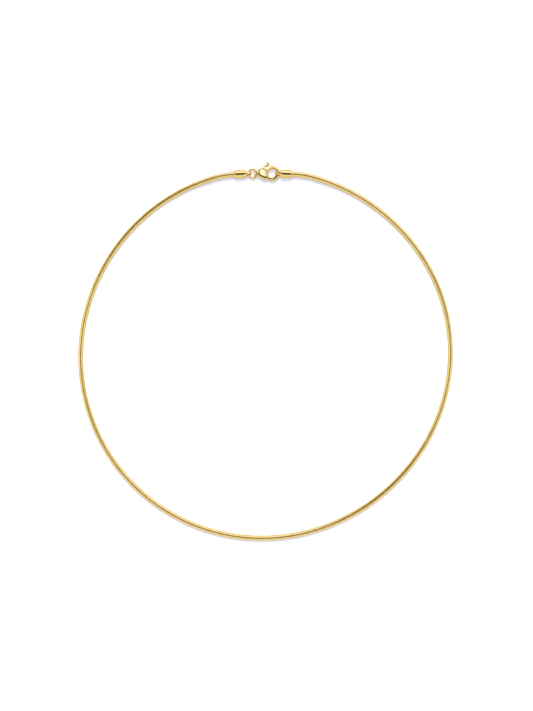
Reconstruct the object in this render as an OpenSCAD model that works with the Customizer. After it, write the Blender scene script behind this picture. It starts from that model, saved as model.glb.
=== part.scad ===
/* [Loop] */
// Length once round the closed necklace
loop_length = 457.2; // [400:0.1:520]
// Diameter of the round chain
chain_d = 2; // [1.4:0.1:2.3]
// How much further in the clasp lies than on a true circle
clasp_dip = 0.35; // [0:0.05:1.5]
// How far the middle of the clasp lies to the right of the loop's middle
clasp_shift = -0.65; // [-3:0.05:3]

/* [End caps] */
// Outer diameter of an end cap
cap_d = 3.25; // [3:0.05:4.5]
// Length of a cap's straight part
cap_len = 3.7; // [3.3:0.05:6]
// Length of a cap's cone, from the straight part to the middle of its eye
cone_len = 1.85; // [1.6:0.05:3]
// Diameter of the cone at the middle of its eye
cone_tip_d = 1.75; // [1:0.05:1.8]
// Rounding of the rim at a cap's mouth
cap_rim = 0.3; // [0.1:0.05:0.4]
// Length of chain that sits in a cap
seat_depth = 3; // [1.5:0.1:3.2]
// Gap between the chain and the bore of a cap
seat_gap = 0.05; // [0.03:0.01:0.1]
// Turn of the left cap, which falls away from the clasp
left_cap_turn = 3; // [0:0.5:6]
// Turn of the right cap, which falls away from the clasp
right_cap_turn = 2; // [0:0.5:6]
// Roll of both caps about their own axes, which leans the tops of their eyes back
cap_roll = 12; // [0:1:13]

/* [Cap eyes] */
// Outer diameter of a cap's eye
eye_d = 2.5; // [2.4:0.05:3]
// Bore of a cap's eye
eye_bore_d = 1.85; // [1.8:0.05:1.95]
// Width of a cap's eye along its bore
eye_w = 1.1; // [0.8:0.05:1.2]
// Bevel on the edges of an eye
eye_bevel = 0.25; // [0.1:0.05:0.35]

/* [Jump ring] */
// Outer diameter of the jump ring
ring_d = 4.1; // [3.9:0.05:4.6]
// Wire of the jump ring
ring_wire_d = 0.75; // [0.5:0.05:0.85]
// How far the ring's wire lies beyond the middle of the cap's eye
ring_play = 0; // [0:0.05:0.2]

/* [Clasp hook] */
// Outer diameter of the hook
hook_d = 6.16; // [5.6:0.02:7]
// Thickness of the hook's round bar
hook_bar_d = 1.3; // [1:0.05:1.35]
// Distance from the middle of the tail's eye to the middle of the hook
hook_reach = 6.07; // [5.8:0.01:6.8]
// Angle at which the hook's bar leaves the body
hook_root_deg = 108; // [104:1:112]
// Angle round the hook at which its tip meets the gate
hook_tip_deg = 260; // [256:1:264]
// Gap between loose pieces that lie against each other
play = 0.05; // [0.03:0.01:0.08]

/* [Clasp body] */
// Thickness of the clasp's body
clasp_t = 3.1; // [2.9:0.05:3.2]
// Width of the clasp's body across its shoulders
body_w = 5.04; // [4.8:0.02:5.4]
// Diameter of the mouth that the hook and the body close round
mouth_d = 3.3; // [3:0.05:3.5]
// Thickness of the mouth's wall between the bevels of its two edges
mouth_wall = 1.5; // [1.3:0.05:2]
// Angle round the hook at which the body's cheeks end and the gate comes out
cheek_end_deg = 231; // [228:1:236]
// Outer diameter of the tail's eye
tail_d = 2.1; // [2:0.05:2.6]
// Bore of the tail's eye
tail_bore_d = 1.3; // [1.2:0.05:1.4]
// Width of the tail's eye along its bore
tail_w = 1.5; // [0.9:0.05:1.55]
// Turn of the clasp about its tail
clasp_turn = 1.9; // [0:0.1:4]

/* [Clasp lever] */
// Thickness of the lever between the cheeks
lever_t = 1; // [0.8:0.05:1.1]
// Gap between the lever and each cheek
cheek_gap = 0.08; // [0.05:0.01:0.12]
// Room in the slot beyond the lever's swing
swing_gap = 0.16; // [0.1:0.02:0.3]
// Diameter of the rivet that the lever turns on
rivet_d = 0.7; // [0.5:0.05:0.8]
// Running gap round the rivet
rivet_gap = 0.04; // [0.02:0.01:0.08]
// Diameter of the lever's hub
hub_d = 1.5; // [1.3:0.05:1.6]
// Distance from the middle of the hook back to the rivet
rivet_back = 2.92; // [2.8:0.02:3.06]
// Distance of the rivet from the clasp's middle line, towards the gate
rivet_aside = 0.6; // [0.4:0.05:0.65]
// Length of the rivet, whose ends lie flush with the panels
rivet_len = 2.8; // [2.4:0.05:2.9]
// Width of the gate across the hook's bar
gate_w = 1.1; // [0.8:0.05:1.2]
// Diameter of the thumb tab
tab_d = 1.55; // [1.2:0.05:1.6]
// Thickness of the thumb tab
tab_t = 1.9; // [1.2:0.05:2.2]
// Bevel on the edges of the thumb tab
tab_bevel = 0.3; // [0.1:0.05:0.4]
// Distance from the middle of the hook back to the tab
tab_back = 1.87; // [1.82:0.01:1.97]
// Height of the tab's middle above the clasp's middle line
tab_height = 3.6; // [3.6:0.05:4]
// How far the lever opens
lever_open_deg = 24; // [12:1:24]

/* [Hidden] */
$fn = 48;

// Gold of the polished parts and of the ribbed chain
POLISHED = "gold";
RIBBED = "goldenrod";

// Mean radius of the loop, and how its bent shape departs from a circle:
// number of lobes, height of a lobe as a share of the radius, direction of the first lobe
loop_r = loop_length / (2 * PI);
LOBES = [
    [2, 0.0064, 28],
    [3, 0.0032, -2],
    [4, 0.0015, 6]
];

// Heights of the middle lines above the surface that everything lies on
chain_r = chain_d / 2;
cap_r = cap_d / 2;
cap_z = cap_r;
clasp_z = clasp_t / 2;
ring_z = clasp_z - tail_bore_d / 2 + ring_wire_d / 2 + play;

// Places along the clasp's line, from the left cap's mouth to the right cap's
cap_total = cap_len + cone_len;
ring_mid_r = (ring_d - ring_wire_d) / 2;
bar_mid_r = (hook_d - hook_bar_d) / 2;
hook_rise = hook_reach * sin(clasp_turn);
eye_on_bar = sqrt(bar_mid_r ^ 2 - (hook_rise + eye_w / 4) ^ 2);
// The ring's wire bows by ring_bow over the tail's width, and half of that is taken up
// on either side of the middle of its bore
ring_bow = ring_mid_r - sqrt(ring_mid_r ^ 2 - (tail_w / 2) ^ 2);
tail_reach = ring_mid_r - ring_bow / 2;
reach_left = ring_mid_r + ring_play + cap_total * cos(left_cap_turn);
reach_right = tail_reach + hook_reach * cos(clasp_turn) + eye_on_bar
    + cap_total * cos(right_cap_turn);
ring_x = clasp_shift - (reach_right - reach_left) / 2;
tail_x = ring_x + tail_reach;
left_eye_x = ring_x - ring_mid_r - ring_play;
right_eye_x = tail_x + hook_reach * cos(clasp_turn) + eye_on_bar;
clasp_y = sqrt(loop_r ^ 2 - ((reach_left + reach_right) / 2) ^ 2) - clasp_dip;

// The chain's route: it leaves each cap straight, joins the loop's own curve
// at join_deg from the top, and comes down to the surface by lift_deg
join_deg = 20;
lift_deg = 34;
straight_out = 0.6;
LOOP_STEPS = 70;
LEAD_STEPS = 3;
CHAIN_SIDES = 8;

// Points of the clasp's own frame, whose origin is the middle of the tail's eye
hook_c = [hook_reach, 0];
rivet_p = hook_c - [rivet_back, rivet_aside];
tab_p = hook_c + [-tab_back, tab_height];
tip_mid = hook_c + bar_mid_r * on_circle(hook_tip_deg);
gate_reach = norm(tip_mid - rivet_p);

// How far past every edge a cut reaches
far = 20;

// Degrees round the hook: how far the body runs on past the hook's root, what the
// hook and the gate are made longer by before the joint between them is cut, and
// where the lever's arm meets the gate, back from the end of the cheeks
ROOT_LAP = 12;
TIP_SPARE = 8;
GATE_SPARE = 10;
ARM_IN_BACK = 16;
ARM_OUT_BACK = 9;

// Corners of the body's raised panels and of the lower border beside them:
// distance along as a share of hook_reach; then the edge's distance from the middle
// line, the corner's radius and the face's inset as shares of half body_w; then the
// thickness at the edge and at the face as shares of clasp_t
PANEL_CORNERS = [
    [0.15, 0.62, 0.24, 0.15, 0.30, 0.50],
    [0.12, -0.10, 0.06, 0.03, 0.40, 0.50],
    [0.49, 1.00, 0.36, 0.18, 0.44, 0.88],
    [0.64, 0.60, 0.12, 0.06, 0.80, 1.00],
    [0.57, -0.56, 0.08, 0.05, 0.62, 0.94],
    [0.72, -0.56, 0.08, 0.05, 0.60, 0.86],
    [0.93, 1.205, 0.28, 0.18, 0.38, 0.54]
];
BORDER_CORNERS = [
    [0.15, -0.50, 0.22, 0.16, 0.28, 0.50],
    [0.52, -1.00, 0.36, 0.20, 0.34, 0.60],
    [0.68, -0.985, 0.27, 0.20, 0.34, 0.60],
    [0.15, 0.20, 0.10, 0.05, 0.28, 0.50],
    [0.66, 0.20, 0.10, 0.05, 0.34, 0.60]
];

// A point on a circle of radius 1
function on_circle(a) = [cos(a), sin(a)];

// A point of the loop's bent curve, at an angle round it
function loop_radius(a) =
    loop_r * (1 + [for (lobe = LOBES) lobe[1] * cos(lobe[0] * (a - lobe[2]))] * [1, 1, 1]);
function loop_point(a) = loop_radius(a) * on_circle(a);

// A cubic from p to q that leaves p along u and reaches q along v
function lead_point(p, u, q, v, t) =
    let (reach = norm(q - p) / 3)
    p * (1 - t) ^ 3 + 3 * (p + reach * u) * t * (1 - t) ^ 2
        + 3 * (q - reach * v) * t ^ 2 * (1 - t) + q * t ^ 3;

// How high the chain's middle line is, at an angle away from the top
function ease(t) = let (c = min(max(t, 0), 1)) c * c * (3 - 2 * c);
function chain_z(p, mouth) =
    let (away = atan2(abs(p[0]), p[1]), start = atan2(abs(mouth[0]), mouth[1]))
    cap_z + (chain_r - cap_z) * ease((away - start) / (lift_deg - start));

// The way out of each cap, its mouth, and where the chain ends inside it
left_out = -on_circle(left_cap_turn);
right_out = on_circle(-right_cap_turn);
left_mouth = [left_eye_x, clasp_y] + cap_total * left_out;
right_mouth = [right_eye_x, clasp_y] + cap_total * right_out;

function lead(mouth, out, side) =
    let (
        start = mouth + straight_out * out,
        a = 90 - side * join_deg,
        join = loop_point(a),
        along = side * (loop_point(a - 1) - loop_point(a + 1)),
        way = along / norm(along)
    )
    [
        mouth - seat_depth * out,
        for (i = [0:LEAD_STEPS - 1]) lead_point(start, out, join, way, i / LEAD_STEPS)
    ];

right_lead = lead(right_mouth, right_out, 1);
left_lead = lead(left_mouth, left_out, -1);
loop_sweep = 360 - 2 * join_deg;
plan_route = [
    for (p = right_lead) p,
    for (i = [0:LOOP_STEPS]) loop_point(90 - join_deg - i * loop_sweep / LOOP_STEPS),
    for (i = [LEAD_STEPS:-1:0]) left_lead[i]
];
route = [
    for (p = plan_route)
        [p[0], p[1], p[1] > 0 ? chain_z(p, p[0] < 0 ? left_mouth : right_mouth) : chain_r]
];

// One ring of points round the route, square to its way over the surface
function route_way(i) =
    let (
        last = len(route) - 1,
        d = route[min(i + 1, last)] - route[max(i - 1, 0)]
    )
    [d[0], d[1]] / norm([d[0], d[1]]);
function tube_ring(i, r, sides) =
    let (way = route_way(i), out = [way[1], -way[0], 0])
    [for (k = [0:sides - 1])
        route[i] + r * (cos(360 * k / sides) * out + [0, 0, sin(360 * k / sides)])];

module tube(r, sides) {
    count = len(route);
    points = [for (i = [0:count - 1]) each tube_ring(i, r, sides)];
    walls = [
        for (i = [0:count - 2], k = [0:sides - 1])
            let (a = i * sides + k, b = i * sides + (k + 1) % sides)
            [a, b, b + sides, a + sides]
    ];
    near_end = [for (k = [sides - 1:-1:0]) k];
    far_end = [for (k = [0:sides - 1]) (count - 1) * sides + k];
    polyhedron(points, concat([near_end], walls, [far_end]));
}

module omega_chain() {
    color(RIBBED) tube(chain_r, CHAIN_SIDES);
}

// A disc with bevelled edges, standing on edge with its axis along Y
module standing_disc(d, w) {
    rotate([90, 0, 0]) rotate_extrude() polygon([
        [0, -w / 2], [d / 2 - eye_bevel, -w / 2], [d / 2, -w / 2 + eye_bevel],
        [d / 2, w / 2 - eye_bevel], [d / 2 - eye_bevel, w / 2], [0, w / 2]
    ]);
}

// Half outline of a cap, turned about its axis: mouth at the bottom, eye at the top
module cap_outline() {
    difference() {
        polygon([
            [0, 0], [cap_r, 0], [cap_r, cap_len],
            [cone_tip_d / 2, cap_total], [0, cap_total]
        ]);
        translate([cap_r - cap_rim, 0]) difference() {
            square(2 * cap_rim);
            translate([0, cap_rim]) circle(cap_rim);
            translate([0, cap_rim]) square(2 * cap_rim);
        }
    }
}

// A cap whose eye is at the origin and whose mouth faces -X
module cap() {
    difference() {
        union() {
            translate([-cap_total, 0, 0]) rotate([0, 90, 0]) rotate_extrude() cap_outline();
            standing_disc(eye_d, eye_w);
        }
        rotate([90, 0, 0]) cylinder(d = eye_bore_d, h = cap_d * 2, center = true);
        translate([-cap_total - 1, 0, 0]) rotate([0, 90, 0])
            cylinder(r = chain_r + seat_gap, h = seat_depth + seat_gap + 1);
    }
}

module end_cap_left() {
    color(POLISHED) translate([left_eye_x, clasp_y, cap_z])
        rotate([0, 0, left_cap_turn]) rotate([-cap_roll, 0, 0]) cap();
}

module end_cap_right() {
    color(POLISHED) translate([right_eye_x, clasp_y, cap_z])
        rotate([0, 0, -right_cap_turn]) rotate([-cap_roll, 0, 0]) mirror([1, 0, 0]) cap();
}

module jump_ring() {
    color(POLISHED) translate([ring_x, clasp_y, ring_z])
        rotate_extrude() translate([ring_mid_r, 0]) circle(d = ring_wire_d);
}

module at_clasp() {
    translate([tail_x, clasp_y, clasp_z]) rotate([0, 0, clasp_turn]) children();
}

// One rounded corner of the body, thinner at its edge than at its face
module body_corner(row) {
    half_w = body_w / 2;
    side = sign(row[1]);
    translate([row[0] * hook_reach, (row[1] - side * row[2]) * half_w, 0]) {
        cylinder(r = row[2] * half_w, h = row[4] * clasp_t, center = true, $fn = 32);
        cylinder(r = (row[2] - row[3]) * half_w, h = row[5] * clasp_t, center = true, $fn = 32);
    }
}

// What lies on the hook's side of the cheeks, between two angles round the hook
module hook_side() {
    translate(hook_c) linear_extrude(far, center = true) polygon([
        [0, 0],
        far * on_circle(hook_root_deg - ROOT_LAP),
        [far, far], [far, -far],
        far * on_circle(cheek_end_deg)
    ]);
}

function turned(p, a) =
    let (d = p - rivet_p)
    rivet_p + [d[0] * cos(a) - d[1] * sin(a), d[0] * sin(a) + d[1] * cos(a)];

// The lever's arm: its back edge, the width of its neck under the tab and its front
hub_r = hub_d / 2;
arm_back_low = rivet_p - [hub_r, 0];
arm_back_top = tab_p - [tab_d / 2, 0];
arm_front_top = tab_p + [tab_d / 2, 0];
slot_front_x = arm_front_top[0] + cheek_gap;
gate_in = bar_mid_r - gate_w / 2;
gate_out = bar_mid_r + gate_w / 2;
gate_low = hook_c + gate_out * on_circle(cheek_end_deg);

// The slot between the cheeks, wide enough for the lever's whole swing
module lever_slot() {
    back = arm_back_low - [cheek_gap, 0];
    back_top = turned(arm_back_top, lever_open_deg) - [swing_gap, 0];
    linear_extrude(lever_t + 2 * cheek_gap, center = true) {
        translate(rivet_p) circle(hub_r + cheek_gap);
        polygon([
            back, back_top, [back_top[0], far], [slot_front_x, far],
            [slot_front_x, mouth_d / 4], hook_c,
            gate_low + 2 * swing_gap * on_circle(cheek_end_deg),
            rivet_p - [0, hub_r + cheek_gap]
        ]);
    }
}

module body_blank() {
    difference() {
        union() {
            hull() for (row = PANEL_CORNERS) body_corner(row);
            hull() for (row = BORDER_CORNERS) body_corner(row);
        }
        translate(hook_c) cylinder(d = mouth_d, h = far, center = true);
        for (face = [0, 1]) translate(hook_c) mirror([0, 0, face]) mouth_bevel();
        hook_side();
    }
}

// What the mouth's bevel takes off one face, at 45 degrees
module mouth_bevel() {
    translate([0, 0, mouth_wall / 2])
        cylinder(r1 = mouth_d / 2, r2 = (mouth_d + clasp_t) / 2, h = clasp_t / 2);
}

module hook() {
    difference() {
        translate(hook_c) rotate([0, 0, hook_tip_deg - TIP_SPARE])
            rotate_extrude(angle = 360 - hook_tip_deg + TIP_SPARE + hook_root_deg)
                translate([bar_mid_r, 0]) circle(d = hook_bar_d);
        translate(rivet_p) cylinder(r = gate_reach + play / 2, h = far, center = true);
    }
}

module clasp_body() {
    color(POLISHED) at_clasp() difference() {
        union() {
            difference() {
                body_blank();
                lever_slot();
                translate(rivet_p) cylinder(d = rivet_d + 2 * rivet_gap, h = far, center = true);
            }
            hook();
            standing_disc(tail_d, tail_w);
        }
        rotate([90, 0, 0]) cylinder(d = tail_bore_d, h = tail_w + 2 * play, center = true);
    }
}

// The gate's arc, from the hub's side to the hook's tip
module gate_outline() {
    intersection() {
        translate(hook_c) difference() {
            circle(gate_out);
            circle(gate_in);
            rotate(hook_tip_deg + GATE_SPARE) square(far);
            translate([-far, 0]) square([2 * far, far]);
        }
        translate(rivet_p) circle(gate_reach - play / 2);
    }
}

module lever_outline() {
    difference() {
        union() {
            translate(rivet_p) circle(hub_r);
            polygon([
                arm_back_low, arm_back_top, arm_front_top,
                [arm_front_top[0], mouth_d / 4],
                hook_c + gate_in * on_circle(cheek_end_deg - ARM_IN_BACK),
                hook_c + gate_out * on_circle(cheek_end_deg - ARM_OUT_BACK),
                rivet_p - [0, hub_r]
            ]);
            gate_outline();
        }
        translate(hook_c) circle(mouth_d / 2 + play);
        translate(rivet_p) circle(rivet_d / 2 + rivet_gap);
    }
}

module clasp_lever() {
    color(POLISHED) at_clasp() {
        linear_extrude(lever_t, center = true) lever_outline();
        translate(tab_p) rotate_extrude() polygon([
            [0, -tab_t / 2], [tab_d / 2 - tab_bevel, -tab_t / 2],
            [tab_d / 2, -tab_t / 2 + tab_bevel], [tab_d / 2, tab_t / 2 - tab_bevel],
            [tab_d / 2 - tab_bevel, tab_t / 2], [0, tab_t / 2]
        ]);
    }
}

module clasp_rivet() {
    color(POLISHED) at_clasp() translate(rivet_p)
        cylinder(d = rivet_d, h = rivet_len, center = true);
}

omega_chain();
end_cap_left();
end_cap_right();
jump_ring();
clasp_body();
clasp_lever();
clasp_rivet();
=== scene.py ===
"""Omega necklace in yellow gold, lying closed on a pale floor.

A thin round chain of narrow ribs runs once round, from one polished end cap to the
other. A jump ring and a lobster clasp close it. Sizes are in metres, in the frame of the
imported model, and repeat its named values.
"""

from __future__ import annotations

import logging
import math
from dataclasses import dataclass
from enum import Enum
from typing import Any, Callable

import bmesh
import bpy
import numpy as np
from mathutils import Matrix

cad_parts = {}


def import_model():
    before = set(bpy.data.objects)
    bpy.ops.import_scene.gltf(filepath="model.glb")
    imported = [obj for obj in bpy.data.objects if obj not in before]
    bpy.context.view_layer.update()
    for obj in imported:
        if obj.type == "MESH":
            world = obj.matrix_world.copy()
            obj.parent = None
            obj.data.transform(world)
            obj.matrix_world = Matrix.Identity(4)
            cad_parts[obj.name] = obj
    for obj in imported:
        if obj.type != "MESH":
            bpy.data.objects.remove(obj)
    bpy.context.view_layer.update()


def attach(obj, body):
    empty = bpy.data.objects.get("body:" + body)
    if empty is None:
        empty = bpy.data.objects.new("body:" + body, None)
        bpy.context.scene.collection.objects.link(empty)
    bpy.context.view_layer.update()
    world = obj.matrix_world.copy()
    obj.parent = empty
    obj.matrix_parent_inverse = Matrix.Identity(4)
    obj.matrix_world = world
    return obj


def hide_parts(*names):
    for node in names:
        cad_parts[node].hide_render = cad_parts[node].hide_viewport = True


LOG = logging.getLogger("omega_necklace")
MM = 0.001

# Points nearer to each other than this are merged
WELD = 0.0002 * MM

# The hollow value of a flat surface, and how often a surface is relaxed to find its own
FLAT = 0.5
HOLLOW_ROUNDS = 8

# The least square of a distance's slope that a point is moved by
LEAST_SLOPE = 0.04

Array = np.ndarray
Field = Callable[[Array, Array, Array], Array]
Colour = tuple[float, float, float]


class Body(Enum):
    """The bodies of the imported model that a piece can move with."""

    NECKLACE = "necklace"
    LEVER = "lever"


class Slot(Enum):
    """The record's material slots."""

    RIBBED = "ribbed_gold"
    POLISHED = "polished_gold"
    CLASP = "clasp_gold"


# Points and outlines


def on_circle(degrees: float | Array) -> Array:
    """A point on a circle of radius 1, at an angle round it."""
    angle = np.radians(degrees)
    return np.stack([np.cos(angle), np.sin(angle)], axis=-1)


def ease(share: Array) -> Array:
    """A share held within 0 and 1 and smoothed: 3 times its square less 2 times its cube."""
    held = np.clip(share, 0, 1)
    return held * held * (3 - 2 * held)


def circle(radius: float | Array, middle: Array) -> Array:
    """The 48 points of a circle round a middle, or of one circle for each radius."""
    return np.multiply.outer(radius, on_circle(np.arange(48) * 7.5)) + middle


def placed(points: Array, origin: Array, turn_deg: float, roll_deg: float = 0) -> Array:
    """Points rolled about X, turned about Z and then moved to an origin.

    Args:
        points: Rows of x, y and z.
        origin: Where the points' own origin goes.
        turn_deg: The turn about Z, in degrees.
        roll_deg: The roll about X, in degrees.

    Returns:
        The points in the necklace's frame.
    """
    level, rise = on_circle(roll_deg)
    cosine, sine = on_circle(turn_deg)
    rolled = points @ np.array([[1, 0, 0], [0, level, rise], [0, -rise, level]])
    turned = rolled @ np.array([[cosine, sine, 0], [-sine, cosine, 0], [0, 0, 1]])
    return turned + np.asarray(origin)


# Distances from solids, negative inside them


def softest(a: Array, b: Array, blend: float) -> Array:
    """The larger of two distances, rounded where they are within a blend of each other.

    A quarter of the blend, times the square of how near they are, is added.
    """
    near = np.maximum(blend - np.abs(a - b), 0) / blend
    return np.maximum(a, b) + near * near * blend / 4


def fused(a: Array, b: Array, blend: float) -> Array:
    """The union of two solids, with a fillet of about the blend where they meet."""
    return -softest(-a, -b, blend)


def cut(a: Array, b: Array, blend: float) -> Array:
    """A solid less another, with the cut's edges rounded by about the blend."""
    return softest(a, -b, blend)


def disc(radius: Array, along: Array, size: float, width: float, blend: float) -> Array:
    """A disc with rounded edges: its radius's excess and its half width's, blended.

    Args:
        radius: Distance of each point from the disc's axis.
        along: Distance of each point along the axis.
        size: The disc's diameter.
        width: The disc's width along its axis.
        blend: Rounding of its edges.

    Returns:
        The distance of each point from the disc.
    """
    return softest(radius - size / 2, np.abs(along) - width / 2, blend)


def polygon_distance(x: Array, y: Array, corners: Array) -> Array:
    """Distance of points from a flat polygon, negative inside it.

    It is the least distance from any edge, and changes its sign at each edge that a
    level line from the point crosses.

    Args:
        x: First coordinates of the points.
        y: Second coordinates of the points.
        corners: Rows of the polygon's corners, in order.

    Returns:
        The signed distances.
    """
    least = np.full(np.shape(x), np.inf)
    sign = np.ones(np.shape(x))
    for (ax, ay), (bx, by) in zip(corners, np.roll(corners, -1, axis=0)):
        ex, ey = bx - ax, by - ay
        px, py = x - ax, y - ay
        share = np.clip((px * ex + py * ey) / (ex * ex + ey * ey), 0, 1)
        least = np.minimum(least, (px - ex * share) ** 2 + (py - ey * share) ** 2)
        above, below = (y >= ay) & (y < by), (y < ay) & (y >= by)
        left = ex * py > ey * px
        sign = np.where((above & left) | (below & ~left), -sign, sign)
    return sign * np.sqrt(least)


def hull_planes(points: Array) -> Array:
    """The planes round a set of points: rows of a normal and its distance from the origin.

    Planes that agree to five places are one, because a hull's flat faces are triangles.
    """
    work = bmesh.new()
    for point in points:
        work.verts.new(point)
    bmesh.ops.convex_hull(work, input=work.verts, use_existing_faces=False)
    rows = [(*face.normal, face.normal.dot(face.verts[0].co)) for face in work.faces]
    work.free()
    return np.unique(np.round(np.array(rows), 5), axis=0)


# Surfaces


def softened(values: Array, rounds: int) -> Array:
    """A lattice of values, each mixed with its two neighbours along each axis in turn.

    Half of the value and a quarter of each neighbour are summed, which rounds the edges
    and hollows of the solid that the values describe by about a cell.
    """
    for _ in range(rounds):
        for axis in range(3):
            ahead = np.roll(values, -1, axis)
            behind = np.roll(values, 1, axis)
            values = values / 2 + ahead / 4 + behind / 4
    return values


def cast_surface(
    shape: Field, low: Array, high: Array, step: float, rounds: int = 0
) -> tuple[Array, Array]:
    """The surface of a solid that is given by its distance, as points and quads.

    The distance is worked out on a cubic lattice. Each cell that the surface passes gets
    one point, the mean of the places where it crosses the cell's edges. Each edge of the
    lattice that it crosses gets the quad of the four cells round it.

    Args:
        shape: Distance of points from the solid, negative inside it.
        low: Lowest corner of the lattice.
        high: Highest corner of the lattice.
        step: The lattice's spacing.
        rounds: How often the distances are softened, where the edges aren't round yet.

    Returns:
        Rows of points, and rows of four point numbers that face outwards.
    """
    margin = 3 * step
    axes = [np.arange(a - margin, b + margin, step) for a, b in zip(low, high)]
    values = softened(shape(*np.meshgrid(*axes, indexing="ij")), rounds)
    inside = values < 0
    lattice = np.array(values.shape)
    corners = np.array([[i >> 2 & 1, i >> 1 & 1, i & 1] for i in range(8)])
    count = sum(
        inside[a : lattice[0] - 1 + a, b : lattice[1] - 1 + b, c : lattice[2] - 1 + c].astype(int)
        for a, b, c in corners
    )
    cells = np.argwhere((count > 0) & (count < 8))
    total = np.zeros(cells.shape)
    crossings = np.zeros(len(cells))
    for start in corners:
        for axis in np.flatnonzero(start == 0):
            end = start + np.eye(3, dtype=int)[axis]
            first = values[tuple((cells + start).T)]
            last = values[tuple((cells + end).T)]
            crossed = (first < 0) != (last < 0)
            share = np.where(crossed, first / np.where(crossed, first - last, 1), 0)
            total += crossed[:, None] * (start + share[:, None] * (end - start))
            crossings += crossed
    points = np.array([a[0] for a in axes]) + step * (cells + total / crossings[:, None])
    number = np.full(lattice - 1, -1)
    number[tuple(cells.T)] = np.arange(len(cells))
    faces = [lattice_quads(inside, number, axis) for axis in range(3)]
    return points, np.concatenate(faces)


def lattice_quads(inside: Array, number: Array, axis: int) -> Array:
    """The quads round the lattice edges along one axis that the surface crosses.

    Args:
        inside: Whether each point of the lattice lies in the solid.
        number: The number of each cell's point.
        axis: The axis that the edges run along.

    Returns:
        Rows of four point numbers that face outwards.
    """
    size = inside.shape[axis]
    first = np.take(inside, range(size - 1), axis)
    last = np.take(inside, range(1, size), axis)
    edges = np.argwhere(first != last)
    over, up = np.eye(3, dtype=int)[(axis + 1) % 3], np.eye(3, dtype=int)[(axis + 2) % 3]
    ring = [edges - over - up, edges - up, edges, edges - over]
    quads = np.stack([number[tuple(cell.T)] for cell in ring], axis=1)
    outwards = first[tuple(edges.T)]
    return np.where(outwards[:, None], quads, quads[:, ::-1])


def settled(shape: Field, points: Array, step: float, rounds: int = 3) -> Array:
    """Points moved onto a solid's surface, each along the slope of its distance.

    The slope is the difference of the distances a tenth of a step to either side. A move
    is the distance over the slope's square, times the slope, and at most half a step.

    Args:
        shape: Distance of points from the solid.
        points: Rows of points near its surface.
        step: The spacing of the lattice that they came from.
        rounds: How often they are moved.

    Returns:
        The moved points.
    """
    reach = step / 10
    for _ in range(rounds):
        slope = np.stack([
            (shape(*(points + side).T) - shape(*(points - side).T)) / (2 * reach)
            for side in reach * np.eye(3)
        ], axis=1)
        square = np.maximum((slope * slope).sum(axis=1), LEAST_SLOPE)
        move = (shape(*points.T) / square)[:, None] * slope
        length = np.linalg.norm(move, axis=1, keepdims=True)
        points = points - move * np.minimum(1, step / 2 / np.maximum(length, 1e-12))
    return points


def relaxed(points: Array, faces: Array, rounds: int) -> Array:
    """Points moved half of the way to the mean of their neighbours, once in each round."""
    pairs = np.sort(np.stack([faces, np.roll(faces, -1, axis=1)], axis=-1).reshape(-1, 2), axis=1)
    first, last = np.unique(pairs, axis=0).T
    size = len(points)
    degree = np.bincount(first, minlength=size) + np.bincount(last, minlength=size)
    for _ in range(rounds):
        mean = np.stack([
            np.bincount(first, points[last, axis], size)
            + np.bincount(last, points[first, axis], size)
            for axis in range(3)
        ], axis=1) / degree[:, None]
        points = points + (mean - points) / 2
    return points


def grid_faces(rows: int, columns: int, closed_rows: bool = False) -> Array:
    """Quads of a grid of points whose columns close round.

    Args:
        rows: Number of rows of points.
        columns: Number of points in a row.
        closed_rows: Whether the last row joins the first one.

    Returns:
        Rows of four point numbers.
    """
    row = np.arange(rows if closed_rows else rows - 1)[:, None]
    column = np.arange(columns)[None, :]
    up, beside = (row + 1) % rows, (column + 1) % columns
    quads = [
        row * columns + column, row * columns + beside,
        up * columns + beside, up * columns + column,
    ]
    return np.stack(np.broadcast_arrays(*quads), axis=-1).reshape(-1, 4)


def mesh_object(name: str, points: Array, faces: Array) -> bpy.types.Object:
    """A smooth-shaded object at the origin, from rows of points and of quads."""
    mesh = bpy.data.meshes.new(name)
    mesh.vertices.add(len(points))
    mesh.vertices.foreach_set("co", points.astype(np.float32).ravel())
    mesh.loops.add(faces.size)
    mesh.loops.foreach_set("vertex_index", faces.astype(np.int32).ravel())
    mesh.polygons.add(len(faces))
    mesh.polygons.foreach_set("loop_start", np.arange(0, faces.size, 4, dtype=np.int32))
    mesh.polygons.foreach_set("use_smooth", np.ones(len(faces), dtype=bool))
    mesh.update(calc_edges=True)
    made = bpy.data.objects.new(name, mesh)
    bpy.context.scene.collection.objects.link(made)
    return made


def welded(made: bpy.types.Object) -> bpy.types.Object:
    """The object with its doubled points merged and its faces turned outwards."""
    work = bmesh.new()
    work.from_mesh(made.data)
    bmesh.ops.remove_doubles(work, verts=work.verts, dist=WELD)
    bmesh.ops.recalc_face_normals(work, faces=work.faces)
    work.to_mesh(made.data)
    work.free()
    return made


def give_values(made: bpy.types.Object, name: str, values: Array) -> None:
    """Stores one number a point on a mesh, for its material to read."""
    layer = made.data.attributes.new(name, "FLOAT", "POINT")
    layer.data.foreach_set("value", values.astype(np.float32))


def give_hollows(made: bpy.types.Object, faces: Array, reach: float) -> None:
    """Stores how hollow the surface is at each point: 0 on ridges, 0.5 on flats, 1 in creases.

    A point's pull is how far relaxing moves it outwards along its normal, over a reach.
    """
    size = len(made.data.vertices)
    points = np.empty(size * 3, np.float32)
    normals = np.empty(size * 3, np.float32)
    made.data.vertices.foreach_get("co", points)
    made.data.vertex_normals.foreach_get("vector", normals)
    points, normals = points.reshape(-1, 3).astype(float), normals.reshape(-1, 3)
    pull = ((relaxed(points, faces, HOLLOW_ROUNDS) - points) * normals).sum(axis=1)
    give_values(made, "hollow", np.clip(FLAT + pull / reach, 0, 1))


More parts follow.
